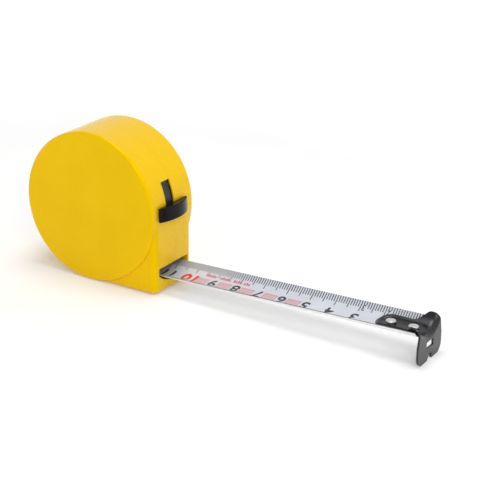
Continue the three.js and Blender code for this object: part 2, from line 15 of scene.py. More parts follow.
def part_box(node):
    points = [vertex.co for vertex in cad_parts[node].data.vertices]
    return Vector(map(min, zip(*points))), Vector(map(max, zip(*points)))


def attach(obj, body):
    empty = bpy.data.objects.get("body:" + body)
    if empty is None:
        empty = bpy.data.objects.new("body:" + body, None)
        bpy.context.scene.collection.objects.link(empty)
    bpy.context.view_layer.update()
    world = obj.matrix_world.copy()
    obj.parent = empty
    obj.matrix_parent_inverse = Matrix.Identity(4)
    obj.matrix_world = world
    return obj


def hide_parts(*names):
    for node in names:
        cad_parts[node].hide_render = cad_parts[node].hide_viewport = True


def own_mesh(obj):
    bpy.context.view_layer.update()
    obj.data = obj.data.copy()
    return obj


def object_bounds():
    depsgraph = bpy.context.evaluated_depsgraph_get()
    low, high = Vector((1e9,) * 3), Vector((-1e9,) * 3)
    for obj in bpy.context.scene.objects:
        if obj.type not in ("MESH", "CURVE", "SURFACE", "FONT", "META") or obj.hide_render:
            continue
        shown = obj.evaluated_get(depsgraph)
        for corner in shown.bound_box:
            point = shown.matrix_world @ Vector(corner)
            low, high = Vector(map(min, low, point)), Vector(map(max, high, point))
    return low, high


MM = 0.001

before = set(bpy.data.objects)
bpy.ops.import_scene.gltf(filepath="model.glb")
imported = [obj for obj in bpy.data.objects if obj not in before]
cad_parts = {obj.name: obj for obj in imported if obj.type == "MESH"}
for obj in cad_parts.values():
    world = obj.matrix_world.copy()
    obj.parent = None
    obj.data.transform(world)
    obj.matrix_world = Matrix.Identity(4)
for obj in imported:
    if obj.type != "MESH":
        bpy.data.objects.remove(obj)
cad_low, cad_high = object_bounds()
scene = bpy.context.scene


# ---------------------------------------------------------------- sizes


def box_of(node):
    """Lowest and highest corner of a CAD node, in millimetres."""
    low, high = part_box(node)
    return low / MM, high / MM


near_low, near_high = box_of("near_shell")
far_low, far_high = box_of("far_shell")
blade_low, blade_high = box_of("blade_strip")
hook_low, hook_high = box_of("hook")
button_low, button_high = box_of("lock_button")
lock_strip_low, lock_strip_high = box_of("lock_strip")

CASE_RADIUS = (near_high.x - near_low.x) / 2
HALF_WIDTH = far_high.y
AXLE_X = near_high.x - CASE_RADIUS
AXLE_Z = near_low.z + CASE_RADIUS
FRONT_X = near_high.x
SEAM_Y = (near_high.y + far_low.y) / 2
CLEARANCE = 0.3
LATHE_START = 0.02  # the ends of the drum and the rivets start this far from their axis

# Case
DRUM_EDGE = 1.2  # rounding of the drum's two rims
BLOCK_HALF_WIDTH = 12.3
BLOCK_CORNER = 2.4  # rounding of the block's upright front edges
BLOCK_FOOT = 0.7  # rounding of its bottom edge
BLOCK_TOP = AXLE_Z - 0.2
LEAST_CORNER = 0.3  # the hollow's corners are at least this round
WALL = 2.0
CUT_EDGE = 0.22  # rounding of the slot's and the mouth's edges
SEAM_GAP = 0.05

# Screws
RECESS_RADIUS = 2.3
RECESS_DEPTH = 2.2  # below the top of the screw's head
HEAD_RADIUS = 2.0
HEAD_HEIGHT = 1.5
HEAD_CROWN = 0.55
CROSS_REACH = 1.25
CROSS_HALF_WIDTH = 0.28
CROSS_DEPTH = 0.9

# Lock
BUTTON_ANGLE = 2.2  # degrees above the horizontal through the axle
BUTTON_HEIGHT = 4.9
BUTTON_LIP = 0.7  # the bar's top edge stands this much above its stem
BUTTON_OVERHANG = 0.5  # half of what the bar is longer than the CAD's, all of it at its far end
BUTTON_DEPTH = 3.3
BUTTON_TIP = 0.9  # depth of the bar at its two ends
BUTTON_EDGE = 0.35  # rounding of the bar's edges
BUTTON_CORNER = 0.35
BUTTON_HALF_LENGTH = (button_high.y - button_low.y) / 2 + BUTTON_OVERHANG
BUTTON_Y = (button_high.y + button_low.y) / 2 + BUTTON_OVERHANG
SLOT_LOW_Y = SEAM_Y - 5.6
SLOT_LOW_ANGLE = BUTTON_ANGLE - math.degrees(BUTTON_HEIGHT / 2 / CASE_RADIUS)
SLOT_HIGH_ANGLE = 24.8
SLOT_WALL = 0.6  # the rim is thinned behind the slot, where the strip's raised middle runs
SLOT_GAP = 0.15
POCKET_LOW_ANGLE = -12  # the thinned part covers the whole travel of the strip's raised middle
POCKET_HIGH_ANGLE = 52
POCKET_LOW_Y = -4.9
POCKET_HIGH_Y = 3.7
STEM_LOW_Y = SLOT_LOW_Y + CLEARANCE
STEM_HIGH_Y = SEAM_Y - CLEARANCE
STRIP_INNER = 26.0
STRIP_THICKNESS = 0.8
STRIP_LOW_ANGLE = -57
STRIP_HIGH_ANGLE = SLOT_HIGH_ANGLE + 6
STRIP_EDGE = 0.15

# Blade
BLADE_WIDTH = 19.0
BLADE_THICKNESS = 0.25
BLADE_RIM = BLADE_WIDTH / 2
COIL_EXIT_ANGLE = -112
COIL_OUTER = 20.425  # to the middle of the blade where it leaves the coil
LEVEL_X = -1.0  # from here to the hook the blade is straight
MOUTH_VALLEY = 3.8  # height of the blade's middle in the mouth, and at the hook
HOOK_VALLEY = 4.8
MOUTH_CURVE = 14.0  # radius of the cross curve in the mouth, and at the hook
HOOK_CURVE = 10.8
BLADE_START_X = blade_low.x
BLADE_TRIM = 0.45  # the blade stops short of the CAD's end, clear of the hook's bend when the hook slides
BLADE_FULL_X = blade_high.x
BLADE_END_X = BLADE_FULL_X - BLADE_TRIM
RIVET_HOLE = 1.25

# Mouth
MOUTH_HALF_WIDTH = 9.7
MOUTH_TOP = 9.4
MOUTH_CLEARANCE = 0.8

# Hook
HOOK_THICKNESS = 0.8
HOOK_FLOAT = 0.8
HOOK_BEND = 2.2  # radius of the bend, to the middle of the sheet
HOOK_CORNER = 3.5
HOOK_EDGE = 0.26
HOOK_LIFT = 0.3  # the hook sits this much higher than the CAD's, clear of the blade
HOOK_BOTTOM = hook_low.z + HOOK_LIFT
HOOK_HALF_WIDTH = 9.5
SHOULDER_HALF_WIDTH = 8.4
TONGUE_HALF_WIDTH = 5.0
TONGUE_CORNER = 4.6
TONGUE_TIP_X = hook_low.x - 0.6
TROUGH_RADIUS = HOOK_CURVE - BLADE_THICKNESS / 2 - CLEARANCE - HOOK_THICKNESS / 2
TROUGH_Z = HOOK_VALLEY + HOOK_CURVE - TROUGH_RADIUS + HOOK_LIFT
PLATE_X = hook_high.x - HOOK_THICKNESS / 2
BEND_X = PLATE_X - HOOK_BEND
SCALE_ZERO_X = hook_high.x - HOOK_THICKNESS  # the scale starts at the plate's inner face
FLARE_FROM_X = SCALE_ZERO_X - 8.2  # the tongue widens into the shoulders from here
FLARE_TO_X = BEND_X - 1
PANEL_DEPTH = 0.35  # how far the tongue's middle is pressed down
PANEL_MARGIN = 1.05
PANEL_HALF_WIDTH = TONGUE_HALF_WIDTH - PANEL_MARGIN
PANEL_START_X = TONGUE_TIP_X + PANEL_MARGIN + PANEL_HALF_WIDTH
PANEL_END_X = SCALE_ZERO_X - 2.6 - PANEL_HALF_WIDTH * 0.55


# ---------------------------------------------------------------- mesh helpers


def smoothstep(value, start, end):
    """0 before start and 1 past end, with a soft rise between them."""
    share = min(max((value - start) / (end - start), 0.0), 1.0)
    return share * share * (3 - 2 * share)


def mix(a, b, share):
    return a + (b - a) * share


def spread(start, end, steps):
    """Evenly spaced numbers from start to end, both included."""
    return [start + (end - start) * i / steps for i in range(steps + 1)]


def arc(centre, radius, start, end, steps):
    """Points on an arc between two angles in degrees."""
    points = []
    for angle in spread(start, end, steps):
        turn = math.radians(angle)
        points.append((centre[0] + radius * math.cos(turn), centre[1] + radius * math.sin(turn)))
    return points


def link_object(name, mesh):
    made = bpy.data.objects.new(name, mesh)
    scene.collection.objects.link(made)
    return made


def new_object(name, points, faces):
    """A mesh object from points in millimetres, its faces turned outwards."""
    mesh = bpy.data.meshes.new(name)
    mesh.from_pydata([Vector(p) * MM for p in points], [], faces)
    shape = bmesh.new()
    shape.from_mesh(mesh)
    bmesh.ops.remove_doubles(shape, verts=shape.verts, dist=1e-7)
    bmesh.ops.recalc_face_normals(shape, faces=shape.faces)
    shape.to_mesh(mesh)
    shape.free()
    return link_object(name, mesh)


def remove(*objects):
    for made in objects:
        bpy.data.objects.remove(made)


def settle(made):
    """Applies the object's modifiers to its mesh."""
    bpy.context.view_layer.update()
    ready = made.evaluated_get(bpy.context.evaluated_depsgraph_get())
    mesh = bpy.data.meshes.new_from_object(ready)
    made.modifiers.clear()
    made.data = mesh


def combine(made, operation, *others):
    """Joins, cuts or crosses the object with others, which are used up."""
    for other in others:
        step = made.modifiers.new(operation, "BOOLEAN")
        step.operation = operation
        step.solver = "EXACT"
        step.object = other
        settle(made)
    remove(*others)
    return made


def round_edges(made, width, segments=2, angle=35):
    """Rounds the edges where faces meet at more than the angle."""
    bevel = made.modifiers.new("round", "BEVEL")
    bevel.width = width * MM
    bevel.segments = segments
    bevel.limit_method = "ANGLE"
    bevel.angle_limit = math.radians(angle)
    bevel.use_clamp_overlap = True
    settle(made)


def shade(made, angle=40):
    """Smooth shading, with a crease where faces meet at more than the angle, and flat faces kept flat."""
    mesh = made.data
    mesh.shade_smooth()
    shape = bmesh.new()
    shape.from_mesh(mesh)
    for edge in shape.edges:
        edge.smooth = len(edge.link_faces) == 2 and edge.calc_face_angle(0) < math.radians(angle)
    shape.to_mesh(mesh)
    shape.free()
    weighted = made.modifiers.new("weighted", "WEIGHTED_NORMAL")
    weighted.keep_sharp = True
    settle(made)


def piece(made, body, finish, slot, *nodes):
    """Gives a finished mesh its material and its body, and hides the CAD nodes that it stands for. The slot
    is not used.
    """
    made.data.materials.clear()
    made.data.materials.append(finish)
    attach(made, body)
    if nodes:
        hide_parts(*nodes)


def loft(name, rings):
    """A body through closed rings with the same number of points, capped at both ends."""
    count = len(rings[0])
    points = [point for ring in rings for point in ring]
    faces = []
    for i in range(len(rings) - 1):
        for j in range(count):
            k = (j + 1) % count
            faces.append((i * count + j, i * count + k, (i + 1) * count + k, (i + 1) * count + j))
    last = (len(rings) - 1) * count
    faces.append(tuple(range(count)))
    faces.append(tuple(last + j for j in range(count)))
    return new_object(name, points, faces)


def prism(name, outline, axis, low, high):
    """A flat outline given thickness along an axis.

    The outline's two coordinates are the other two axes, in order.
    """

    def place(a, b, height):
        point = [a, b]
        point.insert("xyz".index(axis), height)
        return point

    return loft(name, [[place(a, b, height) for a, b in outline] for height in (low, high)])


def box(name, low, high):
    outline = [(low[0], low[1]), (high[0], low[1]), (high[0], high[1]), (low[0], high[1])]
    return prism(name, outline, "z", low[2], high[2])


def lathe(name, profile, centre, segments, axis="y"):
    """A body turned about a line through centre. The profile's pairs are radius and height along the axis."""
    rings = []
    for radius, height in profile:
        ring = []
        for i in range(segments):
            turn = 2 * math.pi * i / segments
            a = centre[0] + radius * math.cos(turn)
            b = centre[1] + radius * math.sin(turn)
            ring.append((a, height, b) if axis == "y" else (a, b, height))
        rings.append(ring)
    return loft(name, rings)


def ring_slice(name, inner, outer, start, end, low_y, high_y, steps=24):
    """A slice of a ring about the axle, between two angles in degrees above +X."""
    centre = (AXLE_X, AXLE_Z)
    outline = arc(centre, outer, start, end, steps) + arc(centre, inner, end, start, steps)
    return prism(name, outline, "y", low_y, high_y)


def sheet(name, grid, thickness):
    """A closed sheet about a grid of points."""
    rows = len(grid)
    columns = len(grid[0])

    def at(i, j):
        """The grid's point, or the nearest one past its edges."""
        return Vector(grid[min(max(i, 0), rows - 1)][min(max(j, 0), columns - 1)])

    def upper(i, j):
        return i * columns + j

    def lower(i, j):
        return rows * columns + upper(i, j)

    points = []
    for offset in (thickness / 2, -thickness / 2):
        for i in range(rows):
            for j in range(columns):
                normal = (at(i + 1, j) - at(i - 1, j)).cross(at(i, j + 1) - at(i, j - 1)).normalized()
                points.append(at(i, j) + normal * offset)
    faces = []
    for i in range(rows - 1):
        for j in range(columns - 1):
            faces.append((upper(i, j), upper(i + 1, j), upper(i + 1, j + 1), upper(i, j + 1)))
            faces.append((lower(i, j), lower(i, j + 1), lower(i + 1, j + 1), lower(i + 1, j)))
        for j in (0, columns - 1):
            faces.append((upper(i, j), upper(i + 1, j), lower(i + 1, j), lower(i, j)))
    for j in range(columns - 1):
        for i in (0, rows - 1):
            faces.append((upper(i, j), upper(i, j + 1), lower(i, j + 1), lower(i, j)))
    return new_object(name, points, faces)


# ---------------------------------------------------------------- materials


def new_material(name):
    material = bpy.data.materials.new(name)
    material.use_nodes = True
    nodes = material.node_tree.nodes
    shader = nodes["Principled BSDF"]
    return material, nodes, material.node_tree.links, shader


def add_noise(nodes, links, feature, detail=3.0, stretch=(1, 1, 1)):
    """Noise in object space, with features about this many millimetres across."""
    place = nodes.new("ShaderNodeTexCoord")
    mapping = nodes.new("ShaderNodeMapping")
    mapping.inputs["Scale"].default_value = stretch
    noise = nodes.new("ShaderNodeTexNoise")
    noise.inputs["Scale"].default_value = 1 / (feature * MM)
    noise.inputs["Detail"].default_value = detail
    links.new(place.outputs["Object"], mapping.inputs["Vector"])
    links.new(mapping.outputs["Vector"], noise.inputs["Vector"])
    return noise.outputs["Fac"]


def add_colours(nodes, links, factor, dark, light):
    """Turns noise into a colour between dark and light."""
    ramp = nodes.new("ShaderNodeValToRGB")
    ramp.color_ramp.elements[0].position = 0.35
    ramp.color_ramp.elements[0].color = (*dark, 1)
    ramp.color_ramp.elements[1].position = 0.65
    ramp.color_ramp.elements[1].color = (*light, 1)
    links.new(factor, ramp.inputs["Fac"])
    return ramp.outputs["Color"]


def add_range(nodes, links, value, value_range, result_range):
    """Turns one range of values into another."""
    scale = nodes.new("ShaderNodeMapRange")
    scale.inputs["From Min"].default_value = value_range[0]
    scale.inputs["From Max"].default_value = value_range[1]
    scale.inputs["To Min"].default_value = result_range[0]
    scale.inputs["To Max"].default_value = result_range[1]
    links.new(value, scale.inputs["Value"])
    return scale.outputs["Result"]


def add_bump(nodes, links, shader, height, depth):
    """Bumps of this depth in millimetres."""
    bump = nodes.new("ShaderNodeBump")
    bump.inputs["Distance"].default_value = depth * MM
    links.new(height, bump.inputs["Height"])
    links.new(bump.outputs["Normal"], shader.inputs["Normal"])


def surface(
    name,
    dark,
    light,
    rough,
    patch,
    grain,
    depth,
    metallic=0.0,
    specular=0.5,
    stretch=(1, 1, 1),
    tint=(1, 1, 1),
):
    """A finish with broad colour patches, uneven gloss and a fine grain. Sizes are in millimetres."""
    material, nodes, links, shader = new_material(name)
    patches = add_noise(nodes, links, patch)
    fine = add_noise(nodes, links, grain, 4.0, stretch)
    links.new(add_colours(nodes, links, patches, dark, light), shader.inputs["Base Color"])
    links.new(add_range(nodes, links, fine, (0.3, 0.7), rough), shader.inputs["Roughness"])
    add_bump(nodes, links, shader, fine, depth)
    shader.inputs["Metallic"].default_value = metallic
    shader.inputs["Specular IOR Level"].default_value = specular
    shader.inputs["Specular Tint"].default_value = (*tint, 1)
    return material


def ink(name, dark, light):
    """Printing ink, slightly uneven."""
    return surface(name, dark, light, rough=(0.35, 0.45), patch=1.5, grain=0.8, depth=0.001)


# The tint keeps the yellow deep where it shines, and leaves grazing reflections white.
case_plastic = surface(
    "case_yellow",
    dark=(0.80, 0.49, 0.0),
    light=(0.84, 0.52, 0.0),
    rough=(0.20, 0.30),
    patch=18,
    grain=0.35,
    depth=0.004,
    specular=0.8,
    tint=(1, 0.75, 0.0),
)
lock_plastic = surface(
    "lock_black",
    dark=(0.004, 0.004, 0.005),
    light=(0.007, 0.007, 0.009),
    rough=(0.10, 0.18),
    patch=4,
    grain=0.3,
    depth=0.003,
    specular=0.12,
)
strip_plastic = surface(
    "lock_strip_black",
    dark=(0.010, 0.010, 0.011),
    light=(0.016, 0.016, 0.018),
    rough=(0.35, 0.5),
    patch=4,
    grain=0.3,
    depth=0.01,
)
blade_lacquer = surface(
    "blade_white",
    dark=(0.60, 0.62, 0.68),
    light=(0.65, 0.67, 0.73),
    rough=(0.30, 0.40),
    patch=9,
    grain=0.8,
    depth=0.002,
)
blade_edge_steel = surface(
    "blade_edge_steel",
    dark=(0.20, 0.20, 0.21),
    light=(0.28, 0.28, 0.30),
    rough=(0.35, 0.5),
    patch=3,
    grain=0.3,
    depth=0.003,
    metallic=0.6,
)
blade_back_lacquer = surface(
    "blade_back_white",
    dark=(0.84, 0.84, 0.84),
    light=(0.88, 0.88, 0.88),
    rough=(0.30, 0.42),
    patch=9,
    grain=0.5,
    depth=0.003,
)
hook_steel = surface(
    "hook_dark_steel",
    dark=(0.009, 0.009, 0.012),
    light=(0.016, 0.016, 0.020),
    rough=(0.20, 0.32),
    patch=2.5,
    grain=0.12,
    depth=0.005,
)
rivet_steel = surface(
    "rivet_nickel",
    dark=(0.62, 0.59, 0.56),
    light=(0.74, 0.72, 0.69),
    rough=(0.25, 0.42),
    patch=0.8,
    grain=0.1,
    depth=0.01,
    metallic=0.85,
)
screw_steel = surface(
    "screw_zinc",
    dark=(0.50, 0.52, 0.55),
    light=(0.60, 0.62, 0.64),
    rough=(0.22, 0.38),
    patch=1.2,
    grain=0.08,
    depth=0.006,
    metallic=0.95,
)
spring_steel = surface(
    "spring_blued",
    dark=(0.10, 0.12, 0.16),
    light=(0.18, 0.19, 0.21),
    rough=(0.22, 0.4),
    patch=5,
    grain=0.1,
    depth=0.004,
    metallic=0.95,
    stretch=(1, 6, 1),
)
reel_plastic = surface(
    "reel_black",
    dark=(0.018, 0.018, 0.020),
    light=(0.030, 0.030, 0.033),
    rough=(0.45, 0.6),
    patch=6,
    grain=0.25,
    depth=0.01,
)
pad_rubber = surface(
    "pad_rubber",
    dark=(0.015, 0.015, 0.015),
    light=(0.030, 0.030, 0.030),
    rough=(0.75, 0.9),
    patch=1.5,
    grain=0.15,
    depth=0.03,
)
black_ink = ink("ink_black", (0.010, 0.012, 0.018), (0.028, 0.032, 0.042))
tick_ink = ink("ink_tick", (0.015, 0.018, 0.030), (0.04, 0.045, 0.06))
red_ink = ink("ink_red", (0.62, 0.035, 0.015), (0.75, 0.08, 0.04))
crimson_ink = ink("ink_crimson", (0.50, 0.015, 0.04), (0.62, 0.04, 0.08))
pink_ink = ink("ink_pink", (0.62, 0.10, 0.12), (0.70, 0.20, 0.22))


# ---------------------------------------------------------------- case


def drum_form(inset):
    radius = CASE_RADIUS - inset
    half = HALF_WIDTH - inset
    edge = max(DRUM_EDGE - inset, LEAST_CORNER)
    profile = [(LATHE_START, -half)]
    profile += arc((radius - edge, -half + edge), edge, -90, 0, 8)
    profile += arc((radius - edge, half - edge), edge, 0, 90, 8)
    profile += [(LATHE_START, half)]
    return lathe("drum", profile, (AXLE_X, AXLE_Z), 216)


def block_plan(inset):
    """The block's outline from above, drawn in by inset."""
    half = BLOCK_HALF_WIDTH - inset
    front = FRONT_X - inset
    corner = max(BLOCK_CORNER - inset, LEAST_CORNER)
    plan = [(AXLE_X + inset, -half)]
    plan += arc((front - corner, -half + corner), corner, -90, 0, 10)
    plan += arc((front - corner, half - corner), corner, 0, 90, 10)
    plan += [(AXLE_X + inset, half)]
    return plan


def block_form(inset):
    """The square corner under the drum's front, its foot rounded where it is the outside."""
    levels = []
    if inset:
        levels.append((inset, inset))
    else:
        for angle in spread(0, 90, 6):
            turn = math.radians(angle)
            levels.append((BLOCK_FOOT * (1 - math.cos(turn)), BLOCK_FOOT * (1 - math.sin(turn))))
    levels.append((BLOCK_TOP, inset))
    return loft("block", [[(x, y, height) for x, y in block_plan(drawn_in)] for height, drawn_in in levels])


def mouth_cutter():
    """Straight above, and hollowed below to follow the blade."""
    lip = MOUTH_CURVE + BLADE_THICKNESS / 2 + MOUTH_CLEARANCE
    reach = math.degrees(math.asin(MOUTH_HALF_WIDTH / lip))
    outline = [(MOUTH_HALF_WIDTH, MOUTH_TOP), (-MOUTH_HALF_WIDTH, MOUTH_TOP)]
    outline += arc((0, MOUTH_VALLEY + MOUTH_CURVE), lip, -90 - reach, -90 + reach, 24)
    return prism("mouth", outline, "x", FRONT_X - 2 * WALL, FRONT_X + WALL)


def slot_cutter():
    return ring_slice(
        "slot",
        CASE_RADIUS - 2 * WALL,
        CASE_RADIUS + WALL,
        SLOT_LOW_ANGLE,
        SLOT_HIGH_ANGLE,
        SLOT_LOW_Y,
        SEAM_Y,
    )


def pocket_cutter():
    """Thins the rim from inside, round the slot."""
    return ring_slice(
        "pocket",
        CASE_RADIUS - 2 * WALL,
        CASE_RADIUS - SLOT_WALL,
        POCKET_LOW_ANGLE,
        POCKET_HIGH_ANGLE,
        POCKET_LOW_Y,
        POCKET_HIGH_Y,
        48,
    )


def screw_places():
    """Each screw's number, its X and Z, and its lowest and highest Y."""
    for i in range(1, 5):
        low, high = box_of(f"case_screw_{i}")
        yield i, (low.x + high.x) / 2, (low.z + high.z) / 2, low.y, high.y


def build_case():
    whole = combine(drum_form(0), "UNION", block_form(0))
    combine(whole, "DIFFERENCE", drum_form(WALL), block_form(WALL))
    combine(whole, "DIFFERENCE", pocket_cutter(), slot_cutter(), mouth_cutter())
    for _, x, z, _, top in screw_places():
        profile = [(RECESS_RADIUS, top - RECESS_DEPTH), (RECESS_RADIUS, HALF_WIDTH + 5)]
        combine(whole, "DIFFERENCE", lathe("recess", profile, (x, z), 40))
    round_edges(whole, CUT_EDGE)
    outside = 40  # past both faces of the case
    for side, low, high in (
        ("near", -outside, SEAM_Y - SEAM_GAP / 2),
        ("far", SEAM_Y + SEAM_GAP / 2, outside),
    ):
        half = link_object(side + "_case_shell", whole.data.copy())
        combine(half, "INTERSECT", box("slab", (-80, low, -20), (80, high, 90)))
        shade(half)
        piece(half, "case", case_plastic, "case_plastic", side + "_shell")
    remove(whole)


build_case()


# ---------------------------------------------------------------- screws


def build_screws():
    for i, x, z, low, top in screw_places():
        seat = top - HEAD_HEIGHT
        profile = [(0.3, low), (0.9, low + 1), (0.95, seat), (HEAD_RADIUS, seat)]
        for angle in spread(90, 10, 6):
            turn = math.radians(angle)
            profile.append((HEAD_RADIUS * math.sin(turn), top - HEAD_CROWN * (1 - math.cos(turn))))
        screw = lathe(f"case_screw_head_{i}", profile, (x, z), 40)
        for reach_x, reach_z in ((CROSS_REACH, CROSS_HALF_WIDTH), (CROSS_HALF_WIDTH, CROSS_REACH)):
            low_corner = (x - reach_x, top - CROSS_DEPTH, z - reach_z)
            high_corner = (x + reach_x, top + 1, z + reach_z)
            combine(screw, "DIFFERENCE", box("cross", low_corner, high_corner))
        shade(screw, 35)
        piece(screw, "case", screw_steel, "steel", f"case_screw_{i}")


build_screws()


# ---------------------------------------------------------------- lock


def crescent(inset):
    """The button's outline from above: flat behind and bowed in front, drawn in by inset."""
    back = FRONT_X + CLEARANCE + inset
    half = BUTTON_HALF_LENGTH
    bow = BUTTON_DEPTH - BUTTON_TIP
    radius = (half**2 + bow**2) / (2 * bow)
    centre = FRONT_X + CLEARANCE + BUTTON_DEPTH - radius
    ends = half - inset
    reach = math.degrees(math.asin(ends / (radius - inset)))
    front = arc((centre, 0), radius - inset, -reach, reach, 28)
    end_front = mix(back, front[0][0], 0.75)  # the ends run straight for this share of their depth
    outline = [(back, ends - BUTTON_CORNER), (back, BUTTON_CORNER - ends), (back + BUTTON_CORNER, -ends)]
    outline += [(end_front, -ends)]
    outline += front[1:-1]
    outline += [(end_front, ends), (back + BUTTON_CORNER, ends)]
    return [(x, y + BUTTON_Y) for x, y in outline]


def button_rings():
    """The button's outlines from its top down. Those near the top and the bottom are drawn in."""
    rings = []
    for side, lip, angles in ((1, BUTTON_LIP, spread(0, 90, 5)), (-1, 0, spread(0, 90, 5)[::-1])):
        for angle in angles:
            turn = math.radians(angle)
            height = BUTTON_HEIGHT / 2 - BUTTON_EDGE * (1 - math.cos(turn))
            outline = crescent(BUTTON_EDGE * (1 - math.sin(turn)))
            rings.append([(x, y, AXLE_Z + lip + side * height) for x, y in outline])
    return rings


def turn_about_axle(made, angle):
    turn = Matrix.Rotation(-math.radians(angle), 4, "Y")
    axle = Matrix.Translation(Vector((AXLE_X, 0, AXLE_Z)) * MM)
    made.data.transform(axle @ turn @ axle.inverted())


def build_button():
    button = loft("lock_button_bar", button_rings())
    turn_about_axle(button, BUTTON_ANGLE)
    reach = math.degrees(BUTTON_HEIGHT / 2 / CASE_RADIUS) - 1
    stem = ring_slice(
        "stem",
        STRIP_INNER - CLEARANCE,
        CASE_RADIUS + 2 * CLEARANCE,
        BUTTON_ANGLE - reach,
        BUTTON_ANGLE + reach,
        STEM_LOW_Y,
        STEM_HIGH_Y,
    )
    combine(button, "UNION", stem)
    shade(button, 30)
    piece(button, "lock", lock_plastic, "lock_plastic", "lock_button")


def build_lock_strip():
    """The curved strip inside the rim, with a raised middle that shows through the slot."""
    strip = ring_slice(
        "lock_strip_band",
        STRIP_INNER,
        STRIP_INNER + STRIP_THICKNESS,
        STRIP_LOW_ANGLE,
        STRIP_HIGH_ANGLE,
        lock_strip_low.y,
        lock_strip_high.y,
        60,
    )
    round_edges(strip, STRIP_EDGE)
    raised_middle = ring_slice(
        "rib",
        STRIP_INNER + 0.3,
        CASE_RADIUS - SLOT_WALL - SLOT_GAP,
        BUTTON_ANGLE,
        STRIP_HIGH_ANGLE,
        STEM_LOW_Y,
        STEM_HIGH_Y,
    )
    combine(strip, "UNION", raised_middle)
    shade(strip)
    piece(strip, "lock", strip_plastic, "lock_plastic", "lock_strip")


build_button()
build_lock_strip()


# ---------------------------------------------------------------- blade


def share_outside(x):
    """How far x is from the mouth, at 0, to the hook, at 1."""
    return min(max((x - FRONT_X) / (BLADE_FULL_X - FRONT_X), 0), 1)


def blade_valley(x):
    return mix(MOUTH_VALLEY, HOOK_VALLEY, share_outside(x))


def blade_curve(x):
    """How sharply the blade curves across its width: nothing on the coil, most at the hook."""
    inside = smoothstep(x, BLADE_START_X, FRONT_X)
    return inside / MOUTH_CURVE + share_outside(x) * (1 / HOOK_CURVE - 1 / MOUTH_CURVE)


def blade_point(x, across, lift=0.0, valley=None, ahead=(1, 0)):
    """A point on the blade, lifted off its middle surface along the normal."""
    curve = max(blade_curve(x), 1e-6)
    turn = across * curve
    rise = (1 - math.cos(turn)) / curve + lift * math.cos(turn)
    y = math.sin(turn) / curve - lift * math.sin(turn)
    z = blade_valley(x) if valley is None else valley
    return Vector((x - ahead[1] * rise, y, z + ahead[0] * rise))


def blade_rows():
    """Middle points and headings from the coil to the hook."""
    angle = math.radians(COIL_EXIT_ANGLE)
    start = Vector((AXLE_X + COIL_OUTER * math.cos(angle), AXLE_Z + COIL_OUTER * math.sin(angle)))
    heading = Vector((-math.sin(angle), math.cos(angle)))
    reach = (LEVEL_X - start.x) / 2
    leave = start + heading * reach
    arrive = Vector((LEVEL_X - reach / 2, MOUTH_VALLEY))
    level = Vector((LEVEL_X, MOUTH_VALLEY))
    rows = []
    for done in spread(0, 1, 24):
        left = 1 - done
        point = start * left**3 + leave * (3 * left * left * done)
        point += arrive * (3 * left * done * done) + level * done**3
        slope = (leave - start) * (left * left) + (arrive - leave) * (2 * left * done)
        slope += (level - arrive) * (done * done)
        rows.append((point.x, point.y, slope.normalized()))
    for x in spread(LEVEL_X, BLADE_END_X, 60)[1:]:
        rows.append((x, blade_valley(x), Vector((1, 0))))
    return rows


def squash_with_blade(made):
    """Gives the piece its own copy of its mesh."""
    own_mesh(made)


def blade_side(face):
    """Which of the blade's materials a face has: 0 is the printed side, 1 the back and 2 the long edges."""
    outward = face.normal.y * math.copysign(1, face.center.y)
    if abs(face.center.y) > 7.5 * MM and outward > 0.3 and face.normal.z > 0.3:
        return 2
    if face.normal.z < 0:
        return 1
    return 0


def build_blade():
    grid = []
    places_across = spread(-BLADE_RIM, BLADE_RIM, 36)
    for x, valley, ahead in blade_rows():
        grid.append([blade_point(x, across, 0, valley, ahead) for across in places_across])
    strip = sheet("blade_strip_curved", grid, BLADE_THICKNESS)
    for i in (1, 2):
        low, high = box_of(f"hook_rivet_{i}")
        profile = [(RIVET_HOLE, 0), (RIVET_HOLE, 12)]
        combine(strip, "DIFFERENCE", lathe("hole", profile, ((low.x + high.x) / 2, 0), 24, axis="z"))
    shade(strip)
    piece(strip, "blade", blade_lacquer, "blade", "blade_strip")
    strip.data.materials.append(blade_back_lacquer)
    strip.data.materials.append(blade_edge_steel)
    for face in strip.data.polygons:
        face.material_index = blade_side(face)
    squash_with_blade(strip)


build_blade()


# ---------------------------------------------------------------- print on the blade

PRINT_LIFT = BLADE_THICKNESS / 2 + 0.02
PRINT_START = 2  # first tick, clear of the hook's bend
PRINT_END = 113  # runs a little way into the mouth
PRINT_STEP = 0.6  # longest straight step across the curved blade
TICK_WIDTH = 0.36
TICK_CENTIMETRE = 4.9
TICK_HALF = 4.25
TICK_MILLIMETRE = 2.95
TICK_BESIDE_FIGURE = 1.6
BESIDE_SMALL_FIGURES = (18, 19, 28, 29)
FONT_SHARE = 0.73  # height of the built-in font's figures as a share of its size
BAR_WIDTH = 0.42
BAR_LOW = -3.2
BAR_HIGH = 2.5
RULE_LOW = 2.2
DASH_WIDTH = 0.6
DASH_PITCH = 0.95
DASH_GROUPS = ((76.0, 3), (79.6, 4), (84.6, 5), (91.0, 5))  # where each starts, and how many dashes it has


def lay_on_blade(name, mesh, finish):
    """Makes a piece of print, which rides on the blade."""
    made = link_object(name, mesh)
    mesh.shade_smooth()
    piece(made, "blade", finish, "blade")
    squash_with_blade(made)


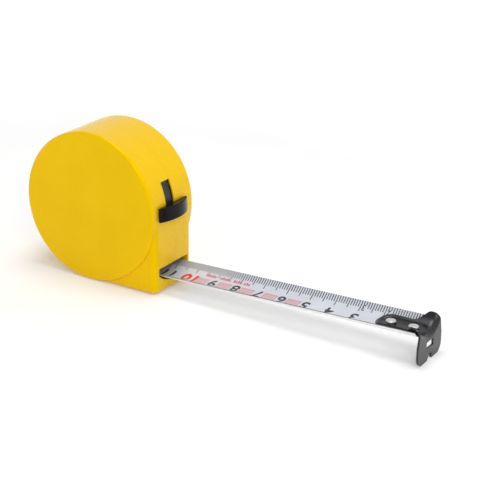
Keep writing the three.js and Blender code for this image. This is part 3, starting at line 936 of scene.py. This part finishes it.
def print_patches(name, patches, finish):
    """Flat patches of ink on the blade. A patch is (start, end, low, high): along the scale, then across."""
    points = []
    faces = []
    for start, end, low, high in patches:
        base = len(points)
        steps = max(2, math.ceil(abs(high - low) / PRINT_STEP))
        for across in spread(low, high, steps):
            for along in (start, end):
                points.append(blade_point(SCALE_ZERO_X - along, across, PRINT_LIFT))
        for i in range(base, base + 2 * steps, 2):
            faces.append((i, i + 1, i + 3, i + 2))
    mesh = bpy.data.meshes.new(name)
    mesh.from_pydata([p * MM for p in points], [], faces)
    lay_on_blade(name, mesh, finish)


def tick_length(mm):
    if mm % 10 == 0:
        return TICK_CENTIMETRE
    if mm % 5 == 0:
        return TICK_HALF
    if mm in BESIDE_SMALL_FIGURES:
        return TICK_BESIDE_FIGURE
    return TICK_MILLIMETRE


def build_ticks():
    """A tick each millimetre from the far edge, longer on each fifth and longest on each tenth."""
    ticks = []
    outer_end = BLADE_RIM - 0.05
    for mm in range(PRINT_START, PRINT_END):
        inner_end = BLADE_RIM - tick_length(mm)
        ticks.append((mm - TICK_WIDTH / 2, mm + TICK_WIDTH / 2, inner_end, outer_end))
    print_patches("scale_ticks", ticks, tick_ink)


def glyphs(text, height, weight):
    """The flat shape of some figures, centred on the origin's X and standing on it, cut into low bands."""
    curve = bpy.data.curves.new("figures", "FONT")
    curve.body = text
    curve.size = height / FONT_SHARE
    curve.offset = weight
    curve.align_x = "CENTER"
    curve.resolution_u = 4
    made = link_object("figures", curve)
    bpy.context.view_layer.update()
    mesh = bpy.data.meshes.new_from_object(made.evaluated_get(bpy.context.evaluated_depsgraph_get()))
    remove(made)
    shape = bmesh.new()
    shape.from_mesh(mesh)
    for cut in spread(0, height, math.ceil(height / 0.5)):
        everything = shape.verts[:] + shape.edges[:] + shape.faces[:]
        bmesh.ops.bisect_plane(shape, geom=everything, plane_co=(0, cut, 0), plane_no=(0, 1, 0))
    return shape


def build_figures(name, figures, height, width, weight, base, finish):
    """Figures that read from the blade's far side. Each is (text, place along the scale)."""
    whole = bmesh.new()
    for text, along in figures:
        shape = glyphs(text, height, weight)
        for vert in shape.verts:
            place = along + vert.co.x * width
            across = base - vert.co.y
            vert.co = blade_point(SCALE_ZERO_X - place, across, PRINT_LIFT) * MM
        mesh = bpy.data.meshes.new("figure")
        shape.to_mesh(mesh)
        shape.free()
        whole.from_mesh(mesh)
    mesh = bpy.data.meshes.new(name)
    whole.to_mesh(mesh)
    whole.free()
    lay_on_blade(name, mesh, finish)


def build_hatching():
    """Blocks of narrow bars between the figures, each with a rule along its far side."""
    bars = []
    for centimetre in range(5, 10):
        start = centimetre * 10
        for along in spread(start + 2.5, start + 7.3, 5):
            bars.append((along, along + BAR_WIDTH, BAR_LOW, BAR_HIGH))
        bars.append((start + 2.2, start + 7.9, RULE_LOW, BAR_HIGH))
    print_patches("hatch_bars", bars, pink_ink)


def build_dashes():
    """A broken line of small bars beside the ticks, in groups. Every second bar is a little longer."""
    dashes = []
    for group, count in DASH_GROUPS:
        for i in range(count):
            along = group + i * DASH_PITCH
            dashes.append((along, along + DASH_WIDTH, 4.1, 5.7 if i % 2 else 5.2))
    print_patches("dash_line", dashes, crimson_ink)


build_ticks()
build_figures(
    "figures_black",
    [(str(centimetre), centimetre * 10) for centimetre in (3, 4, 5, 6, 7, 8, 9, 11)],
    height=5.1,
    width=1.0,
    weight=0.16,
    base=2.8,
    finish=black_ink,
)
build_figures("figures_red", [("10", 100)], height=5.5, width=1.0, weight=0.3, base=2.9, finish=red_ink)
build_figures(
    "figures_small",
    [("3", 28.7), ("2", 18.7)],
    height=2.7,
    width=0.8,
    weight=0.06,
    base=7.8,
    finish=black_ink,
)
build_hatching()
build_dashes()


# ---------------------------------------------------------------- hook

HOOK_SHARES = [math.sin(share * math.pi / 2) for share in spread(-1, 1, 72)]  # closer together at the edges


def trough_rise(y):
    """Height of the hook's sheet above the middle of its trough, which is straight at its sides."""
    straight_from = 0.76 * TROUGH_RADIUS
    curved = min(abs(y), straight_from)
    drop = math.sqrt(TROUGH_RADIUS**2 - curved**2)
    return TROUGH_RADIUS - drop + (abs(y) - curved) * curved / drop


def plate_bottom(y):
    """Height of the plate's lower edge, rounded at its two corners."""
    past = max(abs(y) - (HOOK_HALF_WIDTH - HOOK_CORNER), 0)
    return HOOK_BOTTOM + HOOK_CORNER - math.sqrt(max(HOOK_CORNER**2 - past**2, 0))


def panel_drop(x, y):
    """The pressed panel in the tongue, where the rivets stand."""
    past = max(PANEL_START_X - x, x - PANEL_END_X, 0)
    distance = math.hypot(past, y)
    return PANEL_DEPTH * (1 - smoothstep(distance, PANEL_HALF_WIDTH - 0.18, PANEL_HALF_WIDTH + 0.12))


def hook_row(x, half_width):
    """A row of points across the trough."""
    row = []
    for share in HOOK_SHARES:
        y = share * half_width
        row.append(Vector((x, y, TROUGH_Z + trough_rise(y) - panel_drop(x, y))))
    return row


def tongue_rows():
    """From the tongue's rounded tip to the bend, widening into the shoulders on the way."""
    rows = []
    for angle in spread(0, 90, 16):
        turn = math.radians(angle)
        half_width = TONGUE_HALF_WIDTH - TONGUE_CORNER * (1 - math.sin(turn))
        rows.append(hook_row(TONGUE_TIP_X + TONGUE_CORNER * (1 - math.cos(turn)), half_width))
    for x in spread(TONGUE_TIP_X + TONGUE_CORNER, FLARE_FROM_X, 36)[1:]:
        rows.append(hook_row(x, TONGUE_HALF_WIDTH))
    for x in spread(FLARE_FROM_X, FLARE_TO_X, 30)[1:]:
        share = smoothstep(x, FLARE_FROM_X, FLARE_TO_X)
        rows.append(hook_row(x, mix(TONGUE_HALF_WIDTH, SHOULDER_HALF_WIDTH, share)))
    for x in spread(FLARE_TO_X, BEND_X, 4)[1:-1]:
        rows.append(hook_row(x, SHOULDER_HALF_WIDTH))
    return rows


def bend_rows():
    """The trough turned down into the plate."""
    rows = []
    for angle in spread(0, 90, 12):
        turn = math.radians(angle)
        lowered = Vector((0, 0, HOOK_BEND * (1 - math.cos(turn))))
        row = hook_row(BEND_X + HOOK_BEND * math.sin(turn), SHOULDER_HALF_WIDTH)
        rows.append([point - lowered for point in row])
    return rows


def plate_rows():
    """From the bend down to the lower edge. The plate has its full width from part of the way down."""
    full_width_at = 0.6
    rows = []
    for share in spread(0, 1, 28)[1:]:
        half_width = mix(SHOULDER_HALF_WIDTH, HOOK_HALF_WIDTH, min(share / full_width_at, 1))
        row = []
        for across in HOOK_SHARES:
            y = across * half_width
            top = TROUGH_Z + trough_rise(y) - HOOK_BEND
            row.append(Vector((PLATE_X, y, mix(top, plate_bottom(y), share))))
        rows.append(row)
    return rows


def plate_cutter(name, outline):
    return prism(name, outline, "x", PLATE_X - 1.5, PLATE_X + 1.5)


def rivet_slot(i):
    """A hole as long as the hook's float, in which the rivet lets the hook slide."""
    low, high = box_of(f"hook_rivet_{i}")
    x = (low.x + high.x) / 2
    radius = 1.35
    outline = arc((x + HOOK_FLOAT, 0), radius, -90, 90, 12) + arc((x, 0), radius, 90, 270, 12)
    return prism("slot", outline, "z", TROUGH_Z - 3, TROUGH_Z + 3)


def build_hook():
    hook = sheet("hook_plate", tongue_rows() + bend_rows() + plate_rows(), HOOK_THICKNESS)
    round_edges(hook, HOOK_EDGE, 3, 60)
    hole = plate_cutter("hole", [(-2.8, 0.8), (2.8, 0.8), (2.8, 3.4), (-2.8, 3.4)])
    notch_top = -1.6
    below = HOOK_BOTTOM - 1
    notch = plate_cutter("notch", [(-2.9, below), (1.9, below), (1.5, notch_top), (0.0, notch_top)])
    combine(hook, "DIFFERENCE", hole, notch, rivet_slot(1), rivet_slot(2))
    shade(hook, 50)
    piece(hook, "hook", hook_steel, "hook_steel", "hook")


def build_rivets():
    crown = 0.34  # rounding of the head's upper edge
    foot = 1.6
    foot_height = 0.35
    shank = 1.2
    head_height = 0.8
    for i in (1, 2):
        low, high = box_of(f"hook_rivet_{i}")
        head = (high.x - low.x) / 2
        top = high.z + HOOK_LIFT
        seat = top - head_height
        foot_top = low.z + foot_height
        profile = [(LATHE_START, low.z), (foot, low.z), (foot, foot_top), (shank, foot_top), (shank, seat)]
        profile += [(head - 0.12, seat), (head, seat + 0.12)]
        profile += arc((head - crown, top - 0.08 - crown), crown, 0, 80, 6)
        profile += [(head * 0.45, top - 0.02), (LATHE_START, top)]
        rivet = lathe(f"hook_rivet_head_{i}", profile, ((low.x + high.x) / 2, 0), 48, axis="z")
        shade(rivet, 50)
        piece(rivet, "blade", rivet_steel, "rivet_steel", f"hook_rivet_{i}")


build_hook()
build_rivets()


# ---------------------------------------------------------------- CAD nodes that only get a material

for node, finish in {
    "arbor": screw_steel,
    "power_spring": spring_steel,
    "reel_drum": reel_plastic,
    "blade_tail_rivet": rivet_steel,
    "reel_flange_near": reel_plastic,
    "reel_flange_far": reel_plastic,
    "blade_coil": blade_lacquer,
    "brake_pad": pad_rubber,
}.items():
    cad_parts[node].data.materials[0] = finish


# ---------------------------------------------------------------- floor, light and camera

FLOOR_HALF = 3000
FLOOR_GAP = 0.05
WORLD_STRENGTH = 0.8
WORLD_DIMMED = 0.2
DIM_TOWARD = (-0.49, -0.21, 0.85)  # what the blade's far half mirrors to the front, dimmed so its ticks show
LIT_MIDDLE = (40, 0, 20)
AZIMUTH = 31.39  # the camera's angles, in degrees
ELEVATION = 21.16
ROLL = 0.55
DISTANCE = 552
AIM_AHEAD = 5.4  # the camera looks at this place, from the middle of the CAD's box
AIM_BELOW = 3.1
SENSOR_WIDTH = 36
FOCAL_LENGTH = 111.6


def floor_material():
    """White, and glowing more with distance, so that the background is white and the shadows near by stay."""
    material, nodes, links, shader = new_material("floor_white")
    speckle = add_noise(nodes, links, 40)
    colours = add_colours(nodes, links, speckle, (0.84, 0.84, 0.84), (0.86, 0.86, 0.86))
    links.new(colours, shader.inputs["Base Color"])
    shader.inputs["Roughness"].default_value = 0.9
    shader.inputs["Specular IOR Level"].default_value = 0.2
    shader.inputs["Emission Color"].default_value = (1, 1, 1, 1)
    place = nodes.new("ShaderNodeTexCoord")
    distance = nodes.new("ShaderNodeVectorMath")
    distance.operation = "LENGTH"
    links.new(place.outputs["Object"], distance.inputs[0])
    glow = add_range(nodes, links, distance.outputs["Value"], (180 * MM, 420 * MM), (0.14, 0.42))
    links.new(glow, shader.inputs["Emission Strength"])
    return material


def build_floor():
    """A plane under the hook's tips that touches the round belly of the case, where the real tape rests."""
    tip = Vector((PLATE_X, 0, HOOK_BOTTOM))
    axle = Vector((AXLE_X, 0, AXLE_Z))
    line = tip - axle
    angle = math.asin(-line.z / line.length) - math.asin(CASE_RADIUS / line.length)
    touch = axle + Vector((-math.sin(angle), 0, -math.cos(angle))) * CASE_RADIUS
    corners = [(x, y, 0) for x, y in ((-1, -1), (1, -1), (1, 1), (-1, 1))]
    floor = new_object("floor", [Vector(corner) * FLOOR_HALF for corner in corners], [(0, 1, 2, 3)])
    place = Matrix.Translation((touch - Vector((0, 0, FLOOR_GAP))) * MM)
    floor.matrix_world = place @ Matrix.Rotation(angle, 4, "Y")
    floor.data.materials.append(floor_material())


def build_world():
    world = bpy.data.worlds.new("studio")
    world.use_nodes = True
    nodes = world.node_tree.nodes
    links = world.node_tree.links
    direction = nodes.new("ShaderNodeTexCoord")
    toward = nodes.new("ShaderNodeVectorMath")
    toward.operation = "DOT_PRODUCT"
    toward.inputs[1].default_value = Vector(DIM_TOWARD).normalized()
    links.new(direction.outputs["Generated"], toward.inputs[0])
    strength = add_range(nodes, links, toward.outputs["Value"], (0.7, 0.95), (WORLD_STRENGTH, WORLD_DIMMED))
    links.new(strength, nodes["Background"].inputs["Strength"])
    nodes["Background"].inputs["Color"].default_value = (1, 1, 1, 1)
    scene.world = world


def add_light(name, place, size, power):
    """A square white light that faces the middle of the tape."""
    data = bpy.data.lights.new(name, "AREA")
    data.shape = "SQUARE"
    data.size = size * MM
    data.energy = power
    light = bpy.data.objects.new(name, data)
    light.location = Vector(place) * MM
    light.rotation_euler = (Vector(LIT_MIDDLE) - Vector(place)).to_track_quat("-Z", "Y").to_euler()
    scene.collection.objects.link(light)


def build_camera():
    """The camera stands to the right of the near face and above it, as far off as a short telephoto needs."""
    azimuth = math.radians(AZIMUTH)
    elevation = math.radians(ELEVATION)
    roll = math.radians(ROLL)
    middle = (cad_low + cad_high) / 2 / MM
    target = Vector((middle.x + AIM_AHEAD, 0, middle.z - AIM_BELOW))
    level = math.cos(elevation)
    back = Vector((math.sin(azimuth) * level, -math.cos(azimuth) * level, math.sin(elevation)))
    level_right = Vector((math.cos(azimuth), math.sin(azimuth), 0))
    level_up = back.cross(level_right)
    right = level_right * math.cos(roll) + level_up * math.sin(roll)
    up = level_up * math.cos(roll) - level_right * math.sin(roll)
    data = bpy.data.cameras.new("camera")
    data.sensor_width = SENSOR_WIDTH
    data.lens = FOCAL_LENGTH
    data.clip_start = 0.01
    data.clip_end = 20
    camera = bpy.data.objects.new("camera", data)
    turn = Matrix((right, up, back)).transposed().to_4x4()
    camera.matrix_world = Matrix.Translation((target + back * DISTANCE) * MM) @ turn
    scene.collection.objects.link(camera)
    scene.camera = camera


build_floor()
build_world()
add_light("top", (40, 20, 680), 320, 1.7)
add_light("front", (340, -360, 392), 160, 0.6)
build_camera()
scene.view_settings.view_transform = "Standard"
